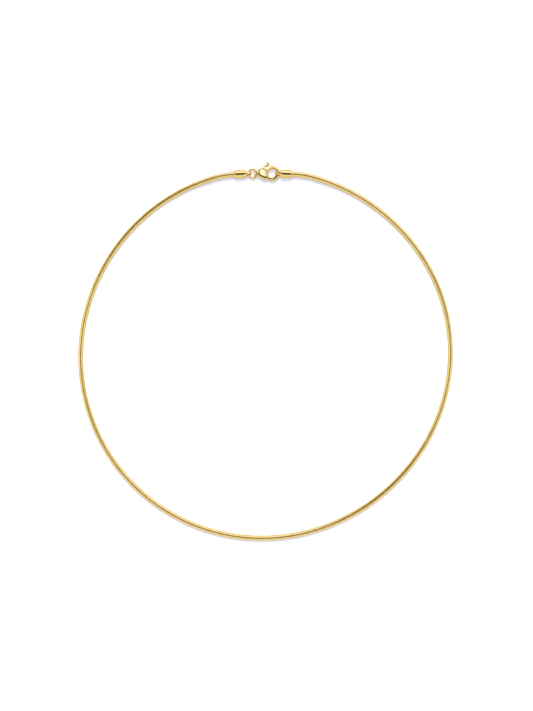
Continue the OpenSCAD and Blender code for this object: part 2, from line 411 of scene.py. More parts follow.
def give_flat(made: bpy.types.Object) -> None:
    """Stores the hollow value of a flat surface on a mesh that has no creases."""
    give_values(made, "hollow", np.full(len(made.data.vertices), FLAT))


# Shader maths


class Number:
    """A value in a node sheet. Sums and products of it add the Math nodes they need."""

    def __init__(self, sheet: "Sheet", socket: bpy.types.NodeSocket) -> None:
        """Wraps a socket of the sheet."""
        self.sheet = sheet
        self.socket = socket

    def __add__(self, other: Any) -> "Number":
        """This value plus another."""
        return self.sheet.math("ADD", self, other)

    __radd__ = __add__

    def __mul__(self, other: Any) -> "Number":
        """This value times another."""
        return self.sheet.math("MULTIPLY", self, other)

    __rmul__ = __mul__

    def __sub__(self, other: Any) -> "Number":
        """This value less another."""
        return self.sheet.math("SUBTRACT", self, other)

    def __rsub__(self, other: Any) -> "Number":
        """Another value less this one."""
        return self.sheet.math("SUBTRACT", other, self)

    def __truediv__(self, other: Any) -> "Number":
        """This value over another."""
        return self.sheet.math("DIVIDE", self, other)


class Sheet:
    """The nodes of one material or of the world."""

    def __init__(self, tree: bpy.types.NodeTree) -> None:
        """Takes over a node tree and empties it."""
        self.tree = tree
        tree.nodes.clear()

    def node(self, kind: str, settings: dict | None = None, sockets: dict | None = None) -> Any:
        """Adds a node.

        Args:
            kind: The node's type.
            settings: Its own settings, set first.
            sockets: Values or links of its input sockets, by name or number.

        Returns:
            The node.
        """
        made = self.tree.nodes.new(kind)
        for name, value in (settings or {}).items():
            setattr(made, name, value)
        for key, value in (sockets or {}).items():
            if isinstance(value, Number):
                value = value.socket
            if isinstance(value, bpy.types.NodeSocket):
                self.tree.links.new(value, made.inputs[key])
            elif isinstance(value, tuple) and made.inputs[key].type == "RGBA":
                made.inputs[key].default_value = (*value, 1)
            else:
                made.inputs[key].default_value = value
        return made

    def math(self, operation: str, *values: Any) -> Number:
        """Adds a Math node on numbers and values."""
        made = self.node("ShaderNodeMath", {"operation": operation}, dict(enumerate(values)))
        return Number(self, made.outputs[0])

    def output(self, made: bpy.types.Node, name: str | int) -> Number:
        """A node's output as a number."""
        return Number(self, made.outputs[name])

    def stored(self, name: str) -> Number:
        """A value that is stored on the mesh's points."""
        return self.output(self.node("ShaderNodeAttribute", {"attribute_name": name}), "Fac")

    def noise(self, place: bpy.types.NodeSocket, scale: float, detail: float) -> Number:
        """A noise over places, with the scale's number of swells a metre."""
        sockets = {"Vector": place, "Scale": scale, "Detail": detail}
        return self.output(self.node("ShaderNodeTexNoise", {}, sockets), 0)

    def step_up(self, value: Number, low: float, high: float) -> Number:
        """A value's smooth rise from 0 at low to 1 at high."""
        sockets = {0: value, 1: low, 2: high}
        made = self.node("ShaderNodeMapRange", {"interpolation_type": "SMOOTHSTEP"}, sockets)
        return self.output(made, 0)

    def mixed(self, share: Any, first: Any, last: Any) -> bpy.types.NodeSocket:
        """A mix of two colours, from the first at 0 to the last at 1."""
        sockets = {0: share, 6: first, 7: last}
        return self.node("ShaderNodeMix", {"data_type": "RGBA"}, sockets).outputs[2]

    def surface(self, sockets: dict) -> None:
        """Closes a material's sheet with its shader, whose inputs are given by name."""
        shader = self.node("ShaderNodeBsdfPrincipled", {}, sockets)
        self.node("ShaderNodeOutputMaterial", {}, {"Surface": shader.outputs[0]})

    def metal(
        self, colour: bpy.types.NodeSocket, dull: Number, bumps: Number, strength: float,
        depth: float,
    ) -> None:
        """Closes a material's sheet with a bare metal.

        Args:
            colour: The metal's colour.
            dull: Its roughness.
            bumps: The height of its fine bumps, as shares of their depth.
            strength: How much of the bumps shows.
            depth: The bumps' depth.
        """
        sockets = {"Height": bumps, "Strength": strength, "Distance": depth}
        bump = self.node("ShaderNodeBump", {}, sockets)
        self.surface({
            "Base Color": colour, "Metallic": 1.0, "Roughness": dull, "Normal": bump.outputs[0],
        })


def new_material(name: str) -> tuple[bpy.types.Material, Sheet]:
    """A material and its empty sheet."""
    made = bpy.data.materials.new(name)
    made.use_nodes = True
    return made, Sheet(made.node_tree)


# Finishes


@dataclass(frozen=True)
class PolishedGold:
    """Polished yellow gold, with fine marks of the wheel, and hollows that are duller and painted
    darker as shade.

    Shades are shares of the way from the tone to the darker tone: the creases' share is painted
    shade, and the cloud's share is tone that differs at random. The cloud is a broad noise, and
    the marks are a fine one, drawn out along X.
    """

    name: str
    slot: Slot
    tone: Colour
    # Painted shade in the creases, and the cloud's random tone, pull the colour towards this
    # darker tone
    cloud_and_crease_shade_tone: Colour
    roughness: float
    duller: float
    marks_width: float
    marks_depth: float
    marks_stretch: float = 0.25
    marks_strength: float = 0.25
    marks_dull: float = 0.5
    clouds_per_mm: float = 0.7
    cloud_shade: float = 0.25
    cloud_dull: float = 0.5
    # The hollows' painted shade: where it starts, where it is full, and how dark it gets
    crease_from: float = 0.55
    crease_to: float = 0.95
    crease_shade: float = 0.8

    def material(self) -> bpy.types.Material:
        """The finish as a material that reads object coordinates and the hollows."""
        made, sheet = new_material(self.name)
        place = sheet.node("ShaderNodeTexCoord").outputs["Object"]
        drawn = {"Vector": place, "Scale": (self.marks_stretch, 1, 1)}
        drawn_place = sheet.node("ShaderNodeMapping", {}, drawn).outputs[0]
        marks = sheet.noise(drawn_place, 1 / self.marks_width, detail=3)
        cloud = sheet.noise(place, self.clouds_per_mm / MM, detail=2)
        crease = sheet.step_up(sheet.stored("hollow"), self.crease_from, self.crease_to)
        # Painted shade: the creases' colour is pulled towards the darker tone, and the cloud adds
        # random tone
        shade = crease * self.crease_shade + cloud * self.cloud_shade
        colour = sheet.mixed(shade, self.tone, self.cloud_and_crease_shade_tone)
        worn = crease + cloud * self.cloud_dull + marks * self.marks_dull
        dull = self.roughness + self.duller * worn
        sheet.metal(colour, dull, marks, self.marks_strength, self.marks_depth)
        return made


@dataclass(frozen=True)
class RibbedGold:
    """Yellow gold of the chain, whose ribs differ a little in tone at random and whose grooves
    are painted darker as shade.
    """

    name: str
    slot: Slot
    tone: Colour
    pale_tone: Colour
    # Painted shade: the colour that the grooves are pulled towards
    groove_shade_tone: Colour
    roughness: float
    duller: float
    rib_dull: float = 0.4
    grains_per_mm: float = 6
    grain_dull: float = 0.4
    grain_strength: float = 0.2
    grain_depth: float = 0.004 * MM

    def material(self) -> bpy.types.Material:
        """The finish as a material that reads the chain's own values."""
        made, sheet = new_material(self.name)
        rib, groove = sheet.stored("rib_tone"), sheet.stored("groove")
        place = sheet.node("ShaderNodeTexCoord").outputs["Object"]
        grain = sheet.noise(place, self.grains_per_mm / MM, detail=2)
        crown = sheet.mixed(rib, self.tone, self.pale_tone)
        # Painted shade: the grooves' colour is pulled towards a dark tone
        colour = sheet.mixed(groove, crown, self.groove_shade_tone)
        worn = groove + rib * self.rib_dull + grain * self.grain_dull
        dull = self.roughness + self.duller * worn
        sheet.metal(colour, dull, grain, self.grain_strength, self.grain_depth)
        return made


RIBBED = RibbedGold(
    name="ribbed_gold", slot=Slot.RIBBED,
    tone=(0.89, 0.64, 0.23), pale_tone=(0.95, 0.72, 0.31), groove_shade_tone=(0.30, 0.16, 0.04),
    roughness=0.08, duller=0.10,
)
POLISHED = PolishedGold(
    name="polished_gold", slot=Slot.POLISHED,
    tone=(0.92, 0.67, 0.27), cloud_and_crease_shade_tone=(0.66, 0.38, 0.09),
    roughness=0.10, duller=0.06, marks_width=0.12 * MM, marks_depth=0.002 * MM,
)
CAST = PolishedGold(
    name="clasp_gold", slot=Slot.CLASP,
    tone=(0.93, 0.69, 0.30), cloud_and_crease_shade_tone=(0.62, 0.35, 0.09),
    roughness=0.12, duller=0.08, marks_width=0.10 * MM, marks_depth=0.003 * MM,
)


def dress(
    made: bpy.types.Object, finish: PolishedGold | RibbedGold, body: Body, node: str
) -> None:
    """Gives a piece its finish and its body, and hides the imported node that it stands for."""
    made.data.materials.append(finish.material())
    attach(made, body.value)
    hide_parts(node)
    LOG.info("%s: %d faces, for %s", made.name, len(made.data.polygons), node)


# The pieces


@dataclass(frozen=True)
class Layout:
    """The places of the pieces, worked out along the clasp's line from their sizes."""

    loop_length: float = 457.2 * MM
    chain_d: float = 2 * MM
    clasp_dip: float = 0.35 * MM
    clasp_shift: float = -0.65 * MM
    cap_d: float = 3.25 * MM
    cap_len: float = 3.7 * MM
    cone_len: float = 1.85 * MM
    left_cap_turn: float = 3.0
    right_cap_turn: float = 2.0
    cap_roll: float = 12.0
    seat_depth: float = 3 * MM
    eye_w: float = 1.1 * MM
    ring_d: float = 4.1 * MM
    ring_wire_d: float = 0.75 * MM
    ring_play: float = 0.0 * MM
    hook_d: float = 6.16 * MM
    hook_bar_d: float = 1.3 * MM
    hook_reach: float = 6.07 * MM
    clasp_t: float = 3.1 * MM
    clasp_turn: float = 1.9
    tail_bore_d: float = 1.3 * MM
    tail_w: float = 1.5 * MM
    play: float = 0.05 * MM

    @property
    def loop_r(self) -> float:
        """Mean radius of the loop."""
        return self.loop_length / (2 * math.pi)

    @property
    def cap_total(self) -> float:
        """Length of a cap from its mouth to the middle of its eye."""
        return self.cap_len + self.cone_len

    @property
    def ring_mid_r(self) -> float:
        """Radius of the middle of the jump ring's wire."""
        return (self.ring_d - self.ring_wire_d) / 2

    @property
    def tail_reach(self) -> float:
        """Distance from the ring's middle to the tail's, with half of the wire's bow taken off.

        The bow is the ring's radius less the root of its square less the square of half
        the tail's width.
        """
        bow = self.ring_mid_r - math.sqrt(self.ring_mid_r ** 2 - (self.tail_w / 2) ** 2)
        return self.ring_mid_r - bow / 2

    @property
    def bar_mid_r(self) -> float:
        """Radius of the middle of the hook's bar."""
        return (self.hook_d - self.hook_bar_d) / 2

    @property
    def eye_on_bar(self) -> float:
        """How far past the hook's middle the right cap's eye lies on its bar."""
        rise = self.hook_reach * math.sin(math.radians(self.clasp_turn)) + self.eye_w / 4
        return math.sqrt(self.bar_mid_r ** 2 - rise ** 2)

    @property
    def reach_left(self) -> float:
        """Distance from the ring's middle to the left cap's mouth."""
        level = self.cap_total * math.cos(math.radians(self.left_cap_turn))
        return self.ring_mid_r + self.ring_play + level

    @property
    def reach_right(self) -> float:
        """Distance from the ring's middle to the right cap's mouth."""
        hook = self.hook_reach * math.cos(math.radians(self.clasp_turn))
        level = self.cap_total * math.cos(math.radians(self.right_cap_turn))
        return self.tail_reach + hook + self.eye_on_bar + level

    @property
    def clasp_y(self) -> float:
        """Place of the clasp's line along Y."""
        half = (self.reach_left + self.reach_right) / 2
        return math.sqrt(self.loop_r ** 2 - half ** 2) - self.clasp_dip

    @property
    def ring_c(self) -> Array:
        """Middle of the jump ring, whose wire lies on the lower side of the tail's bore."""
        x = self.clasp_shift - (self.reach_right - self.reach_left) / 2
        z = self.clasp_t / 2 - self.tail_bore_d / 2 + self.ring_wire_d / 2 + self.play
        return np.array([x, self.clasp_y, z])

    @property
    def tail_c(self) -> Array:
        """Middle of the clasp's tail eye, the origin of the clasp's own frame."""
        return np.array([self.ring_c[0] + self.tail_reach, self.clasp_y, self.clasp_t / 2])

    @property
    def left_eye(self) -> Array:
        """Middle of the left cap's eye."""
        x = self.ring_c[0] - self.ring_mid_r - self.ring_play
        return np.array([x, self.clasp_y, self.cap_d / 2])

    @property
    def right_eye(self) -> Array:
        """Middle of the right cap's eye."""
        hook = self.hook_reach * math.cos(math.radians(self.clasp_turn))
        return np.array([self.tail_c[0] + hook + self.eye_on_bar, self.clasp_y, self.cap_d / 2])


@dataclass(frozen=True)
class RibbedChain:
    """The round chain: one tube of narrow ribs along the loop, from cap to cap."""

    layout: Layout
    lobes: tuple[tuple[int, float, float], ...] = (
        (2, 0.0064, 28), (3, 0.0032, -2), (4, 0.0015, 6),
    )
    join_deg: float = 20
    lift_deg: float = 34
    straight_out: float = 0.6 * MM
    rib_pitch: float = 0.78 * MM
    groove_depth: float = 0.065 * MM
    sides: int = 20
    uneven: float = 0.006 * MM
    tilt_deg: float = 1.0
    seed: int = 11
    lead_points: int = 48
    loop_points: int = 2400
    look: float = 0.3 * MM

    # A rib's rings: place along it as a share of the pitch, depth as a share of the
    # groove's, and how much of the crown's tilt the ring takes
    RIB_RINGS = np.array([
        [0.00, 1.00, 0.0], [0.04, 0.45, 0.6], [0.08, 0.08, 0.9], [0.12, 0.00, 1.0],
        [0.88, 0.00, 1.0], [0.92, 0.08, 0.9], [0.96, 0.45, 0.6],
    ])

    def loop_point(self, degrees: Array) -> Array:
        """Points of the loop's bent curve.

        The radius is the mean radius times 1 plus, for each lobe, its share times the
        cosine of the lobe's number times the angle from its direction.
        """
        swell = sum(
            share * np.cos(np.radians(number * (degrees - way)))
            for number, share, way in self.lobes
        )
        return self.layout.loop_r * (1 + swell)[:, None] * on_circle(degrees)

    def mouth_and_way(self, side: int) -> tuple[Array, Array]:
        """A cap's mouth and the way out of it: side is 1 on the right and -1 on the left."""
        layout = self.layout
        if side > 0:
            eye, way = layout.right_eye[:2], on_circle(-layout.right_cap_turn)
        else:
            eye, way = layout.left_eye[:2], -on_circle(layout.left_cap_turn)
        return eye + layout.cap_total * way, way

    def lead(self, side: int) -> Array:
        """Points from a cap's seat to the loop's own curve.

        The chain leaves the mouth straight, and then follows a cubic whose handles are a
        third of its span.
        """
        mouth, way = self.mouth_and_way(side)
        start = mouth + self.straight_out * way
        near, join, past = self.loop_point(90 - side * self.join_deg + np.array([1.0, 0, -1.0]))
        along = side * (past - near)
        along = along / np.linalg.norm(along)
        handle = np.linalg.norm(join - start) / 3
        t = np.linspace(0, 1, self.lead_points)[:, None]
        cubic = (
            start * (1 - t) ** 3 + 3 * (start + handle * way) * t * (1 - t) ** 2
            + 3 * (join - handle * along) * t ** 2 * (1 - t) + join * t ** 3
        )
        return np.concatenate([[mouth - self.layout.seat_depth * way], cubic])

    def route(self, places: Array | None = None) -> tuple[Array, float]:
        """The chain's middle line and its length.

        The plan is the right lead, the loop and the left lead backwards. The height
        eases from the caps' middle down to the chain's radius, over the angle from the
        mouth to lift_deg, seen from the loop's middle.

        Args:
            places: Distances along the line, or none for its own points.

        Returns:
            Points at those distances, and the whole length.
        """
        layout = self.layout
        sweep = 90 - np.linspace(self.join_deg, 360 - self.join_deg, self.loop_points)
        plan = np.concatenate([self.lead(1), self.loop_point(sweep)[1:-1], self.lead(-1)[::-1]])
        gone = np.concatenate([[0], np.cumsum(np.linalg.norm(np.diff(plan, axis=0), axis=1))])
        places = gone if places is None else places
        x, y = (np.interp(places, gone, plan[:, axis]) for axis in (0, 1))
        height = np.empty(len(places))
        for side in (1, -1):
            mouth = self.mouth_and_way(side)[0]
            start = math.degrees(math.atan2(abs(mouth[0]), mouth[1]))
            away = np.degrees(np.arctan2(np.abs(x), y))
            drop = ease((away - start) / (self.lift_deg - start))
            ours = side * x > 0
            fall = layout.chain_d / 2 - layout.cap_d / 2
            height[ours] = (layout.cap_d / 2 + fall * drop)[ours]
        return np.stack([x, y, height], axis=1), gone[-1]

    def build(self) -> bpy.types.Object:
        """Carries the ribs' rings along the route, each square to it, and closes the ends.

        A ring's radius is the chain's less its share of the groove's depth. Each rib is
        tilted and shifted a little by seeded chance, along and across, and no ring gets
        wider than the chain. The way along the route is read a little ahead and behind.
        """
        chance = np.random.default_rng(self.seed)
        length = self.route()[1]
        count = round(length / self.rib_pitch)
        pitch = length / count
        share, depth, held = self.RIB_RINGS.T
        places = ((np.arange(count)[:, None] + share) * pitch).ravel()
        middle = self.route(places)[0]
        way = self.route(places + self.look)[0] - self.route(places - self.look)[0]
        way /= np.linalg.norm(way, axis=1, keepdims=True)
        side = np.stack([way[:, 1], -way[:, 0], np.zeros(len(way))], axis=1)
        side /= np.linalg.norm(side, axis=1, keepdims=True)
        up = np.cross(side, way)
        turn = np.arange(self.sides) * 2 * math.pi / self.sides
        cone = np.tan(np.radians(chance.normal(0, self.tilt_deg, (count, 1))))
        lean = np.tan(np.radians(chance.normal(0, self.tilt_deg, (count, 1))))
        lean_way = np.repeat(chance.uniform(0, 2 * math.pi, count), len(share))
        off_middle = (share - 0.5) * pitch * held
        tilt = (cone * off_middle).ravel()
        swing = (lean * off_middle).ravel()[:, None] * np.cos(turn - lean_way[:, None])
        shift = np.repeat(chance.uniform(-1, 0, count), len(share)) * self.uneven
        base = self.layout.chain_d / 2 - self.uneven - np.tile(depth, count) * self.groove_depth
        radius = (base + tilt + shift)[:, None] + swing
        radius = np.minimum(radius, self.layout.chain_d / 2)
        cosine, sine = np.cos(turn)[:, None], np.sin(turn)[:, None]
        ring = cosine * side[:, None, :] + sine * up[:, None, :]
        points = middle[:, None, :] + radius[:, :, None] * ring
        ends = [np.repeat(middle[i][None, None, :], self.sides, axis=1) for i in (0, -1)]
        points = np.concatenate([ends[0], points, ends[1]])
        made = mesh_object("chain", points.reshape(-1, 3), grid_faces(len(points), self.sides))
        tone = np.repeat(chance.uniform(0, 1, count), len(share) * self.sides)
        self.give_ring_values(made, "rib_tone", tone)
        self.give_ring_values(made, "groove", np.repeat(np.tile(depth, count), self.sides))
        return welded(made)

    def give_ring_values(self, made: bpy.types.Object, name: str, values: Array) -> None:
        """Stores the rings' values, with those of the two closed ends put before and after."""
        first, last = values[: self.sides], values[-self.sides :]
        give_values(made, name, np.concatenate([first, values, last]))

    def add(self) -> None:
        """Builds the chain and dresses it."""
        dress(self.build(), RIBBED, Body.NECKLACE, "omega_chain")


@dataclass(frozen=True)
class EndCap:
    """A polished cup that the chain's end sits in, with its cone and soldered eye."""

    layout: Layout
    cone_tip_d: float = 1.75 * MM
    rim: float = 0.55 * MM
    shoulder: float = 0.12
    seat_gap: float = 0.05 * MM
    eye_d: float = 2.5 * MM
    eye_bore_d: float = 1.85 * MM
    eye_round: float = 0.5 * MM
    fillet: float = 0.45 * MM
    seat_round: float = 0.12 * MM
    bore_round: float = 0.3 * MM
    pressed_most: float = 1.2
    hollow_reach: float = 0.02 * MM
    step: float = 0.05 * MM

    def shape(self, x: Array, y: Array, z: Array) -> Array:
        """Distance from a cap whose eye is at the origin and whose mouth faces -X.

        The cup is a tube, pressed together sideways from its shoulder to its eye: its half
        width falls in a straight line, to a third of the tube's at least, and its half
        height with the square of the share of the way. The eye is a standing disc fused
        to it. The seat and the bore are cut.
        """
        layout = self.layout
        along = x + layout.cap_total
        radius = np.hypot(y, z)
        past = (along - layout.cap_len) / layout.cone_len
        pressed = (past + np.hypot(past, self.shoulder)) / 2
        half = layout.cap_d / 2
        half_w = np.maximum(half - (half - self.cone_tip_d / 2) * pressed, half / 3)
        half_h = half - (half - self.eye_d / 2) * np.clip(pressed, 0, self.pressed_most) ** 2
        oval = np.sqrt((y / half_w) ** 2 + (z / half_h) ** 2)
        cup = softest((oval - 1) * half_w, -along, self.rim)
        cup = softest(cup, x, self.fillet)
        seat = np.maximum(radius - layout.chain_d / 2, along - layout.seat_depth)
        cup = cut(cup, seat - self.seat_gap, self.seat_round)
        eye = disc(np.hypot(x, z), y, self.eye_d, layout.eye_w, self.eye_round)
        whole = fused(cup, eye, self.fillet)
        return cut(whole, np.hypot(x, z) - self.eye_bore_d / 2, self.bore_round)

    def add(self, name: str, node: str, eye: Array, turn_deg: float, roll_deg: float) -> None:
        """Builds one cap at its place and dresses it."""
        layout = self.layout
        half = layout.cap_d / 2
        low = np.array([-layout.cap_total, -half, -half])
        high = np.array([self.eye_d / 2, half, half])
        points, faces = cast_surface(self.shape, low, high, self.step)
        points = settled(self.shape, relaxed(points, faces, 2), self.step)
        made = mesh_object(name, placed(points, eye, turn_deg, roll_deg), faces)
        give_hollows(made, faces, self.hollow_reach)
        dress(made, POLISHED, Body.NECKLACE, node)


@dataclass(frozen=True)
class JumpRing:
    """The soldered round ring between the left cap and the clasp's tail."""

    layout: Layout
    seam_deg: float = 205
    seam_width: float = 3.5
    seam_depth: float = 0.025 * MM
    turns: int = 180
    sides: int = 40

    def add(self) -> None:
        """Builds the ring as a wire carried round a circle, filed a little flat at its seam.

        The wire's radius is half its size less the seam's depth times the bell curve of
        the angle from the seam.
        """
        layout = self.layout
        round_deg = np.arange(self.turns)[:, None] * 360 / self.turns
        section = np.arange(self.sides)[None, :] * 2 * math.pi / self.sides
        away = (round_deg - self.seam_deg) / self.seam_width
        wire = layout.ring_wire_d / 2 - self.seam_depth * np.exp(-away * away)
        reach = layout.ring_mid_r + wire * np.cos(section)
        flat = on_circle(round_deg)
        points = np.stack([
            reach * flat[..., 0], reach * flat[..., 1], wire * np.sin(section) + 0 * round_deg
        ], axis=-1)
        faces = grid_faces(self.turns, self.sides, closed_rows=True)
        made = welded(mesh_object("jump_ring_wire", points.reshape(-1, 3) + layout.ring_c, faces))
        give_flat(made)
        dress(made, POLISHED, Body.NECKLACE, "jump_ring")


@dataclass(frozen=True)
class Clasp:
    """The lobster clasp: a cast body with its hook, the lever in its slot and the rivet."""

    layout: Layout
    hook_root_deg: float = 108
    hook_tip_deg: float = 260
    body_w: float = 5.04 * MM
    mouth_d: float = 3.3 * MM
    mouth_wall: float = 2.0 * MM
    cheek_end_deg: float = 231
    tail_d: float = 2.1 * MM
    lever_t: float = 1 * MM
    cheek_gap: float = 0.08 * MM
    swing_gap: float = 0.16 * MM
    rivet_d: float = 0.7 * MM
    rivet_gap: float = 0.04 * MM
    hub_d: float = 1.5 * MM
    rivet_back: float = 2.92 * MM
    rivet_aside: float = 0.6 * MM
    rivet_proud: float = 0.02 * MM
    rivet_sunk: float = 0.01 * MM
    gate_w: float = 1.1 * MM
    gate_crest: float = 0.35
    tab_d: float = 1.55 * MM
    tab_t: float = 1.9 * MM
    tab_lean_deg: float = 14
    tab_back: float = 1.87 * MM
    tab_height: float = 3.6 * MM
    lever_open_deg: float = 24
    root_lap: float = 12
    root_spare: float = 6
    tip_spare: float = 8
    gate_spare: float = 10
    arm_in_back: float = 16
    arm_out_back: float = 9
    face_round: float = 0.05 * MM
    slot_round: float = 0.06 * MM
    hook_fillet: float = 0.25 * MM
    tip_round: float = 0.3 * MM
    gate_seat_round: float = 0.12 * MM
    tail_round: float = 0.35 * MM
    tail_fillet: float = 0.6 * MM
    tail_bore_round: float = 0.2 * MM
    gate_end_round: float = 0.1 * MM
    plate_round: float = 0.16 * MM
    tab_round: float = 0.28 * MM
    tab_dome: float = 0.06 * MM
    tab_fillet: float = 0.15 * MM
    hollow_reach: float = 0.03 * MM
    room_below: float = 0.6 * MM
    room_above: float = 0.8 * MM
    step: float = 0.05 * MM
    lever_step: float = 0.04 * MM

    # Corners of the raised panel and of the lower border: distance along as a share of
    # hook_reach; the edge's distance from the middle line, the corner's radius and the
    # face's inset as shares of half body_w; thickness at the edge and at the face as
    # shares of clasp_t. The panel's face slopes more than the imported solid's, to mirror
    # the light that the real one does
    PANEL_CORNERS = np.array([
        [0.15, 0.62, 0.24, 0.15, 0.30, 0.40], [0.12, -0.10, 0.06, 0.03, 0.34, 0.40],
        [0.49, 1.00, 0.36, 0.18, 0.44, 0.76], [0.64, 0.60, 0.12, 0.06, 0.80, 0.94],
        [0.57, -0.56, 0.08, 0.05, 0.62, 0.86], [0.72, -0.56, 0.08, 0.05, 0.60, 1.00],
        [0.93, 1.205, 0.28, 0.18, 0.38, 0.54],
    ])
    BORDER_CORNERS = np.array([
        [0.15, -0.50, 0.22, 0.16, 0.28, 0.50], [0.52, -1.00, 0.36, 0.20, 0.34, 0.60],
        [0.68, -0.985, 0.27, 0.20, 0.34, 0.60], [0.15, 0.20, 0.10, 0.05, 0.28, 0.50],
        [0.66, 0.20, 0.10, 0.05, 0.34, 0.60],
    ])

    # The hook's bar: angle round the hook, half width and half height in millimetres, and
    # how far in from the middle its crest lies, as a share of the half width
    HOOK_ROWS = np.array([
        [-120, 0.74, 0.62, 0.00], [-60, 0.76, 0.64, 0.00], [-20, 0.66, 0.64, 0.10],
        [15, 0.62, 0.66, 0.25], [45, 0.70, 0.72, 0.40], [90, 0.82, 0.84, 0.42],
        [120, 0.84, 0.88, 0.42],
    ])

    @property
    def hook_c(self) -> Array:
        """Middle of the hook in the clasp's frame."""
        return np.array([self.layout.hook_reach, 0.0])

    @property
    def rivet_p(self) -> Array:
        """Place of the rivet in the clasp's frame."""
        return self.hook_c - np.array([self.rivet_back, self.rivet_aside])

    @property
    def tab_p(self) -> Array:
        """Place of the thumb tab in the clasp's frame."""
        return self.hook_c + np.array([-self.tab_back, self.tab_height])

    @property
    def gate_reach(self) -> float:
        """Distance from the rivet to where the gate meets the hook's tip."""
        tip = self.hook_c + self.layout.bar_mid_r * on_circle(self.hook_tip_deg)
        return float(np.linalg.norm(tip - self.rivet_p))

    def corner_points(self, rows: Array) -> Array:
        """The rims of the corners' discs, which the hull of a block is made round.

        Each corner is two stacks of discs: one of its full radius at the edge's
        thickness, and one less the inset at the face's.
        """
        half_w, half_t = self.body_w / 2, self.layout.clasp_t / 2
        rims = []
        for along, aside, radius, inset, edge, face in rows:
            middle = np.array([
                along * self.layout.hook_reach, (aside - math.copysign(radius, aside)) * half_w
            ])
            for size, height in ((radius, edge), (radius - inset, face)):
                flat = circle(size * half_w, middle)
                for z in (-height * half_t, height * half_t):
                    rims.append(np.column_stack([flat, np.full(len(flat), z)]))
        return np.concatenate(rims)

    def blocks(self) -> list[Array]:
        """The planes of the body's two convex blocks, the raised panel and the border."""
        tables = (self.PANEL_CORNERS, self.BORDER_CORNERS)
        return [hull_planes(self.corner_points(rows)) for rows in tables]

    def block_distance(self, planes: Array, x: Array, y: Array, z: Array) -> Array:
        """Distance from a convex block: the largest of the distances from its planes.

        The points go in parts of about 40000, which bounds the memory that is used.
        """
        points = np.stack([np.ravel(x), np.ravel(y), np.ravel(z)], axis=1)
        parts = np.array_split(points, max(1, len(points) // 40000))
        far = [(part @ planes[:, :3].T - planes[:, 3]).max(axis=1) for part in parts]
        return np.concatenate(far).reshape(np.shape(x))

    def from_hook(self, x: Array, y: Array) -> tuple[Array, Array, Array]:
        """Offsets from the hook's middle along both axes, and the distance from it."""
        across, beside = x - self.hook_c[0], y - self.hook_c[1]
        return across, beside, np.hypot(across, beside)

    def from_rivet(self, x: Array, y: Array) -> Array:
        """Distance from the rivet's axis."""
        return np.hypot(x - self.rivet_p[0], y - self.rivet_p[1])

    @staticmethod
    def bar_distance(
        out: Array, z: Array, half_w: Array | float, half_h: Array | float, crest: Array | float
    ) -> Array:
        """Distance from a bar whose section is two half ovals that meet at its crest.

        Args:
            out: How far each point lies from the bar's outer edge, outwards.
            z: The points' height from the bar's middle.
            half_w: The bar's half width.
            half_h: Its half height.
            crest: How far in from its middle the crest lies, as a share of half_w.

        Returns:
            The distances of the points.
        """
        off = out + half_w * (1 + crest)
        side = np.where(off > 0, half_w * (1 + crest), half_w * (1 - crest))
        return (np.hypot(off / side, z / half_h) - 1) * np.minimum(half_w, half_h)

    def hook_distance(self, x: Array, y: Array, z: Array) -> Array:
        """Distance from the hook: a bar carried round an arc, with one outer edge all round.

        HOOK_ROWS give the bar's section at angles round the hook. Past the arc's ends it
        closes in a round. What lies within the gate's reach of the rivet is cut away.
        """
        across, beside, reach = self.from_hook(x, y)
        angle = np.mod(np.degrees(np.arctan2(beside, across)) - 180, 360) - 180
        turns = self.HOOK_ROWS[:, 0]
        half_w, half_h, crest = (np.interp(angle, turns, row) for row in self.HOOK_ROWS.T[1:])
        out = reach - self.layout.hook_d / 2
        bar = self.bar_distance(out, z, half_w * MM, half_h * MM, crest)
        past_root = angle - self.hook_root_deg - self.root_spare
        past_tip = self.hook_tip_deg - self.tip_spare - 360 - angle
        for past in (past_root, past_tip):
            bar = softest(bar, np.radians(past) * self.layout.bar_mid_r, self.tip_round)
        clear = self.gate_reach + self.layout.play / 2
        return softest(bar, clear - self.from_rivet(x, y), self.gate_seat_round)

    def slot_distance(self, x: Array, y: Array, z: Array) -> Array:
        """Distance from the slot between the cheeks, wide enough for the lever's swing."""
        hub_r = self.hub_d / 2
        back = self.rivet_p - [hub_r + self.cheek_gap, 0]
        off = self.tab_p - [self.tab_d / 2, 0] - self.rivet_p
        cosine, sine = on_circle(self.lever_open_deg)
        top_x = self.rivet_p[0] + off[0] * cosine - off[1] * sine - self.swing_gap
        top_y = self.rivet_p[1] + off[0] * sine + off[1] * cosine
        front_x = self.tab_p[0] + self.tab_d / 2 + self.cheek_gap
        far = 20 * MM
        gate_out = self.layout.bar_mid_r + self.gate_w / 2
        low = self.hook_c + (gate_out + 2 * self.swing_gap) * on_circle(self.cheek_end_deg)
        outline = np.array([
            back, [top_x, top_y], [top_x, far], [front_x, far], [front_x, self.mouth_d / 4],
            self.hook_c, low, self.rivet_p - [0, hub_r + self.cheek_gap],
        ])
        hub = self.from_rivet(x, y) - hub_r - self.cheek_gap
        flat = np.minimum(hub, polygon_distance(x, y, outline))
        return np.maximum(flat, np.abs(z) - self.lever_t / 2 - self.cheek_gap)

    def tail_bore(self, x: Array, y: Array, z: Array) -> Array:
        """Distance from the bore of the tail's eye, which ends a little past the tail."""
        reach = np.abs(y) - self.layout.tail_w / 2 - self.layout.play
        return np.maximum(np.hypot(x, z) - self.layout.tail_bore_d / 2, reach)

    def body_shape(self) -> Field:
        """The distance function of the body with its hook and its tail's eye.

        Two convex blocks are joined, and the mouth, its bevels and the hook's side are
        cut off. Then come the slot, the hook, the tail and its bore. The rivet fills its
        hole, so the hole isn't cut.
        """
        layout = self.layout
        panel, border = self.blocks()
        root = on_circle(self.hook_root_deg - self.root_lap)
        end = on_circle(self.cheek_end_deg)

